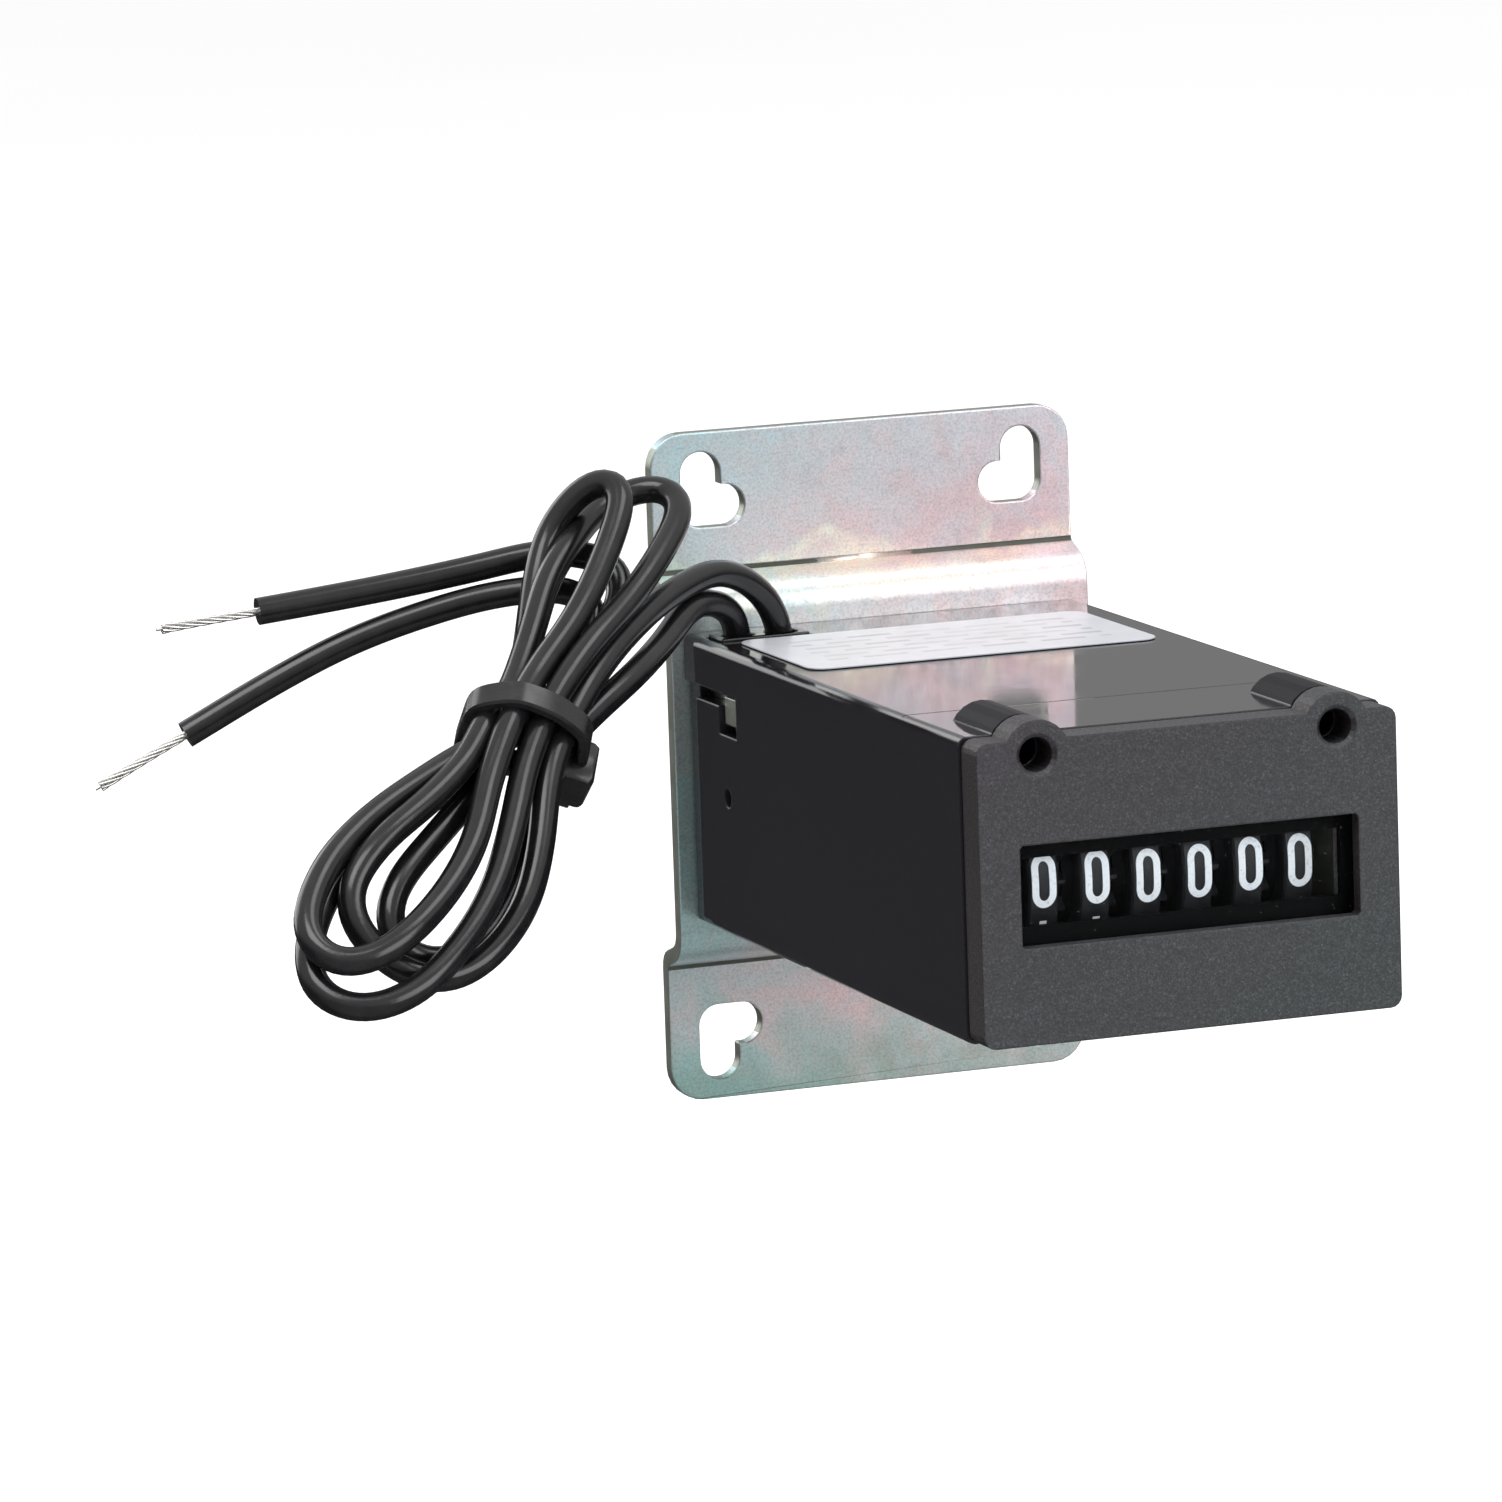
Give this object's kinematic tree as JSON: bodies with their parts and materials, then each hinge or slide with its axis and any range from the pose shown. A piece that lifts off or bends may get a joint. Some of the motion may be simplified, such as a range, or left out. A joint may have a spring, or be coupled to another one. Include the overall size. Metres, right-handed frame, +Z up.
{
  "type": "electromechanical impulse counter",
  "caption": "Base-mounted electromechanical impulse counter: drum-wheel digits behind a window, slotted hat-section wall plate, tied wire leads.",
  "frame": {"origin": "centre of the rectangle of four wall slots, on the wall plane that the mounting plate's flanges rest on", "axes": "+X to the reader's right, +Y into the wall (the counter looks out along -Y), +Z up"},
  "size_m": [0.0934, 0.074, 0.0616],
  "materials": {
    "zinc_plate": "zinc plated steel, pale iridescent blue and yellow passivation",
    "gloss_housing": "glossy moulded black",
    "textured_bezel": "fine spark-eroded texture, charcoal",
    "clear_lens": "clear polycarbonate",
    "matte_mask": "black",
    "white_label": "satin white polyester film",
    "wheel_grey": "moulded dark grey",
    "natural_nylon": "natural nylon",
    "bright_steel": "ground",
    "soft_iron": "plated soft iron",
    "copper_wire": "enamelled copper",
    "tinned_brass": "tinned",
    "tinned_strand": "tinned copper strands",
    "black_pvc": "semi-gloss PVC insulation",
    "black_nylon": "glossy nylon"
  },
  "bodies": {
    "base": {"mounting_plate": "zinc_plate", "housing": "gloss_housing", "front_bezel": "textured_bezel", "window_lens": "clear_lens", "digit_mask": "matte_mask", "rating_label": "white_label", "lead_grommet": "black_nylon", "wheel_shaft": "bright_steel", "pinion_shaft": "bright_steel", "wheel_shaft_clip_left": "bright_steel", "wheel_shaft_clip_right": "bright_steel", "pinion_shaft_clip_left": "bright_steel", "pinion_shaft_clip_right": "bright_steel", "side_plate_left": "zinc_plate", "side_plate_right": "zinc_plate", "spacer_front_top": "bright_steel", "spacer_front_bottom": "bright_steel", "spacer_rear": "bright_steel", "spring_post": "bright_steel", "coil_bobbin": "natural_nylon", "coil_winding": "copper_wire", "iron_core": "soft_iron", "coil_terminal_1": "tinned_brass", "coil_terminal_2": "tinned_brass", "magnet_yoke": "soft_iron", "armature_pin": "bright_steel", "return_spring": "bright_steel", "lead_1": "black_pvc", "lead_2": "black_pvc", "coil_lead_1": "black_pvc", "coil_lead_2": "black_pvc", "free_end_1": "black_pvc", "free_end_2": "black_pvc", "bare_conductor_1": "tinned_strand", "bare_conductor_2": "tinned_strand", "lead_hank": "black_pvc", "cable_tie": "black_nylon"},
    "units_wheel": {"number_wheel_1": "wheel_grey", "star_wheel": "natural_nylon"},
    "tens_wheel": {"number_wheel_2": "wheel_grey"},
    "hundreds_wheel": {"number_wheel_3": "wheel_grey"},
    "thousands_wheel": {"number_wheel_4": "wheel_grey"},
    "ten_thousands_wheel": {"number_wheel_5": "wheel_grey"},
    "hundred_thousands_wheel": {"number_wheel_6": "wheel_grey"},
    "pinion_1": {"transfer_pinion_1": "natural_nylon"},
    "pinion_2": {"transfer_pinion_2": "natural_nylon"},
    "pinion_3": {"transfer_pinion_3": "natural_nylon"},
    "pinion_4": {"transfer_pinion_4": "natural_nylon"},
    "pinion_5": {"transfer_pinion_5": "natural_nylon"},
    "armature_body": {"armature": "soft_iron", "verge_pallets": "natural_nylon"}
  },
  "joints": [
    {"name": "units_spin", "type": "hinge", "parent": "base", "child": "units_wheel", "pos_m": [0, -0.061, -0.00035], "axis": [1, 0, 0], "continuous": true},
    {"name": "tens_spin", "type": "hinge", "parent": "base", "child": "tens_wheel", "pos_m": [0, -0.061, -0.00035], "axis": [1, 0, 0], "continuous": true},
    {"name": "hundreds_spin", "type": "hinge", "parent": "base", "child": "hundreds_wheel", "pos_m": [0, -0.061, -0.00035], "axis": [1, 0, 0], "continuous": true},
    {"name": "thousands_spin", "type": "hinge", "parent": "base", "child": "thousands_wheel", "pos_m": [0, -0.061, -0.00035], "axis": [1, 0, 0], "continuous": true},
    {"name": "ten_thousands_spin", "type": "hinge", "parent": "base", "child": "ten_thousands_wheel", "pos_m": [0, -0.061, -0.00035], "axis": [1, 0, 0], "continuous": true},
    {"name": "hundred_thousands_spin", "type": "hinge", "parent": "base", "child": "hundred_thousands_wheel", "pos_m": [0, -0.061, -0.00035], "axis": [1, 0, 0], "continuous": true},
    {"name": "pinion_1_spin", "type": "hinge", "parent": "base", "child": "pinion_1", "pos_m": [0, -0.05092, -0.00035], "axis": [1, 0, 0], "continuous": true},
    {"name": "pinion_2_spin", "type": "hinge", "parent": "base", "child": "pinion_2", "pos_m": [0, -0.05092, -0.00035], "axis": [1, 0, 0], "continuous": true},
    {"name": "pinion_3_spin", "type": "hinge", "parent": "base", "child": "pinion_3", "pos_m": [0, -0.05092, -0.00035], "axis": [1, 0, 0], "continuous": true},
    {"name": "pinion_4_spin", "type": "hinge", "parent": "base", "child": "pinion_4", "pos_m": [0, -0.05092, -0.00035], "axis": [1, 0, 0], "continuous": true},
    {"name": "pinion_5_spin", "type": "hinge", "parent": "base", "child": "pinion_5", "pos_m": [0, -0.05092, -0.00035], "axis": [1, 0, 0], "continuous": true},
    {"name": "armature_swing", "type": "hinge", "parent": "base", "child": "armature_body", "pos_m": [0, -0.0462, -0.0083], "axis": [1, 0, 0], "range_deg": [-6, 0], "stiffness_Nm_per_rad": 0.02, "springref_deg": 17.19, "deforming": ["return_spring"]}
  ],
  "couplings": [
    {"joint": "tens_spin", "follows": "units_spin", "ratio": 0.1},
    {"joint": "hundreds_spin", "follows": "units_spin", "ratio": 0.01},
    {"joint": "thousands_spin", "follows": "units_spin", "ratio": 0.001},
    {"joint": "ten_thousands_spin", "follows": "units_spin", "ratio": 0.0001},
    {"joint": "hundred_thousands_spin", "follows": "units_spin", "ratio": 0.00001},
    {"joint": "pinion_1_spin", "follows": "units_spin", "ratio": -0.25},
    {"joint": "pinion_2_spin", "follows": "units_spin", "ratio": -0.025},
    {"joint": "pinion_3_spin", "follows": "units_spin", "ratio": -0.0025},
    {"joint": "pinion_4_spin", "follows": "units_spin", "ratio": -0.00025},
    {"joint": "pinion_5_spin", "follows": "units_spin", "ratio": -0.000025}
  ]
}
